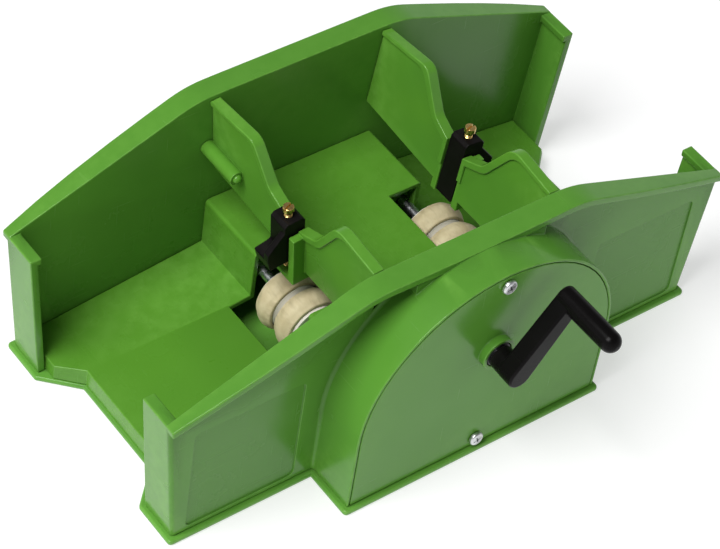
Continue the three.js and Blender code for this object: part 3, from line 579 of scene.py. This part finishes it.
def gate_screw(node, name, sign):
    """A slotted brass screw with a fine thread, standing in the leaning frame."""
    low, top = ADJUSTER_LOW, ADJUSTER_TOP
    neck = top - ADJUSTER_HEAD_HEIGHT
    rod, head = ADJUSTER_RADIUS, ADJUSTER_HEAD
    steps = 360
    profile = [(rod - 0.4 * MM, low), (rod, low + 0.4 * MM)]
    profile += [(rod, low + 0.45 * MM + (neck - low - 0.9 * MM) * k / steps) for k in range(steps + 1)]
    profile += [(rod, neck), (head - 0.15 * MM, neck), (head, neck + 0.15 * MM)]
    profile += arc((head - 0.35 * MM, top - 0.35 * MM), 0.35 * MM, 0, 90, 4)
    wave = thread(ADJUSTER_PITCH, ADJUSTER_THREAD, low + 0.5 * MM, neck - 0.6 * MM)
    mesh = to_mesh(skinned(turned(profile, 28, wave)), name)
    slot = skinned(block(-3 * MM, 3 * MM, -0.35 * MM, 0.35 * MM, top - 0.9 * MM, top + 1 * MM))
    mesh = combined(mesh, to_mesh(slot, "slot", Matrix.Rotation(math.radians(18), 4, "Z")), "DIFFERENCE")
    mesh.transform(leaning(sign) @ Matrix.Translation((sign * ADJUSTER_PLACE[0], ADJUSTER_PLACE[1], 0)))
    add_piece(name, mesh, node, "adjuster", 30)


def gate_radius(sign):
    """Hardly any rounding round the screw's bore, where the walls are thin."""
    to_lean = leaning(sign).inverted()

    def radius(edge, turn):
        places = [to_lean @ v.co for v in edge.verts]
        reach = max(math.hypot(p.x - sign * ADJUSTER_PLACE[0], p.y - ADJUSTER_PLACE[1]) for p in places)
        return HIDDEN_RADIUS if reach < 2.1 * MM else None

    return radius


def divider_radius(edge, turn):
    """Hardly any rounding inside the pilot hole that the fixing screw fills."""
    return 0.05 * MM if min(v.co.y for v in edge.verts) > 46.6 * MM else None


def add_peg(name, sign):
    """The small domed peg on the end of a divider's screw boss."""
    profile = [(PEG_RADIUS, -0.8 * MM)] + arc((0, 0), PEG_RADIUS, 0, 84, 10)
    mesh = to_mesh(skinned(turned(profile, 32)), name)
    boss_end = Matrix.Translation((sign * PEG_PLACE[0], PEG_PLACE[1], PEG_PLACE[2]))
    mesh.transform(leaning(sign) @ boss_end @ TO_FRONT)
    mesh.shade_smooth()
    mark_edges(mesh)
    mesh.materials.append(LOOKS["divider"])
    peg = bpy.data.objects.new(name, mesh)
    scene.collection.objects.link(peg)
    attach(peg, "body")


for side, sign in (("left", -1), ("right", 1)):
    rounded(f"{side}_divider", f"{side}_divider_moulding", "divider", 0.4 * MM, 0.25 * MM, divider_radius)
    rounded(f"{side}_gate", f"{side}_gate_moulding", "gate", 0.35 * MM, 0.2 * MM, gate_radius(sign))
    gate_screw(f"{side}_gate_screw", f"{side}_gate_adjuster", sign)
    add_peg(f"{side}_divider_peg", sign)


# ---------- Rollers and gears ----------
def tread(node, name):
    """A rubber tyre with a domed tread, rounded shoulders and a fine mould line."""
    low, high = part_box(node)
    centre = (low + high) / 2
    half = (high.y - low.y) / 2
    outer = (high.z - low.z) / 2
    side_radius = outer - 1.25 * MM
    corner = side_radius - TYRE_SHOULDER
    profile = [(TYRE_BORE, -half)] + arc((corner, -half + TYRE_SHOULDER), TYRE_SHOULDER, -90, -30, 4)
    steps = 14
    for k in range(steps + 1):
        t = 2 * k / steps - 1
        bulge = outer - TYRE_CROWN * t * t
        seam = TYRE_SEAM if k == steps // 2 else 0.0
        profile.append((bulge - TYRE_SEAM + seam, t * (half - 1.3 * MM)))
    profile += arc((corner, half - TYRE_SHOULDER), TYRE_SHOULDER, 30, 90, 4) + [(TYRE_BORE, half)]
    mesh = to_mesh(skinned(turned(profile, 72), wrapped=True), name)
    mesh.transform(Matrix.Translation(centre) @ TO_FRONT)
    add_piece(name, mesh, node, "tyre")


for side in ("left", "right"):
    rounded(f"{side}_pinion", f"{side}_pinion_wheel", "gear", 0.15 * MM)
    rounded(f"{side}_roller_core", f"{side}_roller_hub", "gear", 0.3 * MM)
    rounded(f"{side}_roller_shaft", f"{side}_roller_spindle", "shaft", 0.3 * MM)
    rounded(f"{side}_front_bush", f"{side}_front_bearing", "bush", 0.2 * MM)
    tread(f"{side}_front_tyre", f"{side}_front_tread")
    tread(f"{side}_rear_tyre", f"{side}_rear_tread")
rounded("crank_gear", "crank_wheel", "gear", 0.15 * MM)
rounded("idler_gear", "idler_wheel", "gear", 0.15 * MM)
rounded("idler_pin", "idler_spindle", "shaft", 0.3 * MM)
rounded("crank_shaft", "crank_spindle", "shaft", 0.3 * MM)


# ---------- Crank ----------
def arm_outline(inset, y):
    """Outline of the arm at one depth, smaller by the inset all round. Local z runs along the arm."""
    loop = []
    steps = 18
    for radius, along, start in ((ARM_HUB_RADIUS, 0.0, 180), (ARM_TIP_RADIUS, CRANK_THROW, 0)):
        for k in range(steps + 1):
            angle = math.radians(start + 180 * k / steps)
            reach = radius - inset
            loop.append((reach * math.cos(angle), y, along + reach * math.sin(angle)))
    return loop


def crank_arm():
    """The handle: a hub on the shaft, a tapered arm with two rounded ends, and a grip with a domed end."""
    steps = 5
    loops = []
    for k in range(steps + 1):
        turn = math.pi / 2 * k / steps
        inset, depth = ARM_EDGE - ARM_EDGE * math.sin(turn), ARM_EDGE - ARM_EDGE * math.cos(turn)
        loops.append(arm_outline(inset, ARM_FRONT + depth))
    for k in range(steps + 1):
        turn = math.pi / 2 * k / steps
        inset, depth = ARM_EDGE - ARM_EDGE * math.cos(turn), ARM_EDGE - ARM_EDGE * math.sin(turn)
        loops.append(arm_outline(inset, ARM_BACK - depth))
    mesh = to_mesh(skinned(loops), "arm")

    hub = to_mesh(skinned(turned(HUB_PROFILE, 48)), "hub", TO_FRONT)
    grip_profile = list(GRIP_PROFILE) + arc((0.0, GRIP_DOME[0]), GRIP_DOME[1], 4, 80, 10)
    grip_place = Matrix.Translation((0, 0, CRANK_THROW)) @ TO_FRONT
    grip = to_mesh(skinned(turned(grip_profile, 48)), "grip", grip_place)
    mesh = combined(combined(mesh, hub, "UNION"), grip, "UNION")
    bore = to_mesh(skinned(turned(CRANK_BORE, 32)), "bore", TO_FRONT)
    mesh = combined(mesh, bore, "DIFFERENCE")
    mesh.transform(Matrix.Translation((0, 0, CRANK_HEIGHT)) @ Matrix.Rotation(CRANK_TILT, 4, "Y"))
    return mesh


add_piece("crank_arm", crank_arm(), "crank_handle", "crank_handle")


# ---------- Studio ----------
def add_floor():
    """A plain white floor that also glows a little, as paper does under wide soft light."""
    made = bmesh.new()
    bmesh.ops.create_grid(made, x_segments=8, y_segments=8, size=FLOOR_SIZE)
    mesh = to_mesh(made, "floor")
    f = Finish("pale_floor")
    paper = f.noise(900, 3)
    tone = f.blend(f.spread(paper, 0.3, 0.7), (0.49, 0.49, 0.49, 1), (0.51, 0.51, 0.51, 1))
    mesh.materials.append(f.close({
        "Base Color": tone, "Roughness": 0.6, "Specular IOR Level": 0.2,
        "Normal": f.bump(paper, 0.1 * MM, 0.1), "Emission Color": (1, 1, 1, 1), "Emission Strength": 0.55,
    }))
    floor = bpy.data.objects.new("floor", mesh)
    scene.collection.objects.link(floor)


def add_area(name, place, aim, size, power):
    """A rectangular light that faces the aim."""
    data = bpy.data.lights.new(name, "AREA")
    data.shape = "RECTANGLE"
    data.size, data.size_y = size
    data.energy = power
    light = bpy.data.objects.new(name, data)
    light.location = place
    light.rotation_mode = "QUATERNION"
    light.rotation_quaternion = (Vector(aim) - Vector(place)).to_track_quat("-Z", "Y")
    scene.collection.objects.link(light)


def add_sky(horizon, zenith):
    """A soft surround, brighter near the horizon than overhead."""
    world = bpy.data.worlds.new("studio")
    world.use_nodes = True
    nodes, links = world.node_tree.nodes, world.node_tree.links
    background = nodes["Background"]
    background.inputs["Color"].default_value = (0.97, 0.985, 1.0, 1)
    direction = nodes.new("ShaderNodeTexCoord")
    split = nodes.new("ShaderNodeSeparateXYZ")
    fall = nodes.new("ShaderNodeMapRange")
    links.new(direction.outputs["Generated"], split.inputs["Vector"])
    links.new(split.outputs["Z"], fall.inputs["Value"])
    fall.inputs["From Min"].default_value = 0.15
    fall.inputs["From Max"].default_value = 0.60
    fall.inputs["To Min"].default_value = horizon
    fall.inputs["To Max"].default_value = zenith
    links.new(fall.outputs["Result"], background.inputs["Strength"])
    scene.world = world


add_floor()
add_area("key", KEY_PLACE, KEY_AIM, KEY_SIZE, KEY_POWER)
add_sky(SKY_HORIZON, SKY_ZENITH)
scene.view_settings.view_transform = "Standard"
